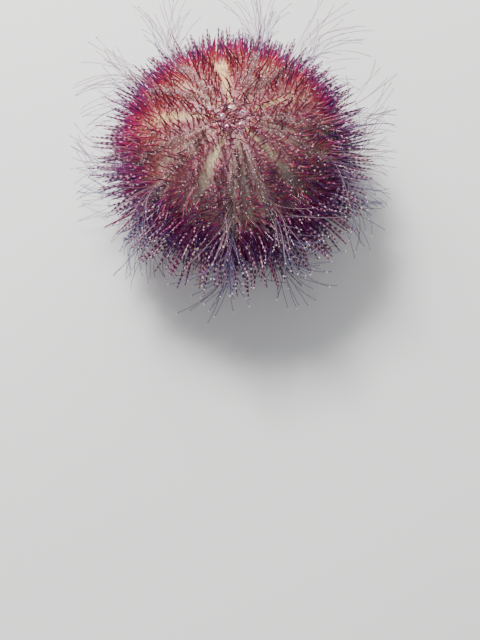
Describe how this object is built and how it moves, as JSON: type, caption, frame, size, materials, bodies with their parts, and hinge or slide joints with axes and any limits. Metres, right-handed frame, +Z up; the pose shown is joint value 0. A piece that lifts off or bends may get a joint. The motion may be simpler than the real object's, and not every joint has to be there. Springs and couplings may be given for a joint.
{
  "type": "sea urchin",
  "caption": "Still life-size model of a domed sea urchin: short red spines on top, long banded spines round the sides and below, thin tube feet with suckers.",
  "frame": {"origin": "under the middle of the model's box, on the floor that the lowest spine tips stand on", "axes": "+Z up through the shell's top, mouth facing -Z; the camera of the picture looks from -Y and above, with +X to its right"},
  "size_m": [0.1224, 0.123, 0.06],
  "materials": {
    "ambulacrum": "satin",
    "interambulacrum": "satin",
    "apical_disc": "satin",
    "sieve_plate": "matt",
    "anal_plates": "satin",
    "mouth_membrane": "moist satin",
    "lantern_teeth": "smooth satin"
  },
  "bodies": {
    "root": {"ambulacrum_1": "ambulacrum", "ambulacrum_2": "ambulacrum", "ambulacrum_3": "ambulacrum", "ambulacrum_4": "ambulacrum", "ambulacrum_5": "ambulacrum", "interambulacrum_1": "interambulacrum", "interambulacrum_2": "interambulacrum", "interambulacrum_3": "interambulacrum", "interambulacrum_4": "interambulacrum", "interambulacrum_5": "interambulacrum", "apical_disc": "apical_disc", "sieve_plate": "sieve_plate", "anal_plates": "anal_plates", "mouth_membrane": "mouth_membrane", "lantern_teeth": "lantern_teeth"}
  },
  "joints": []
}
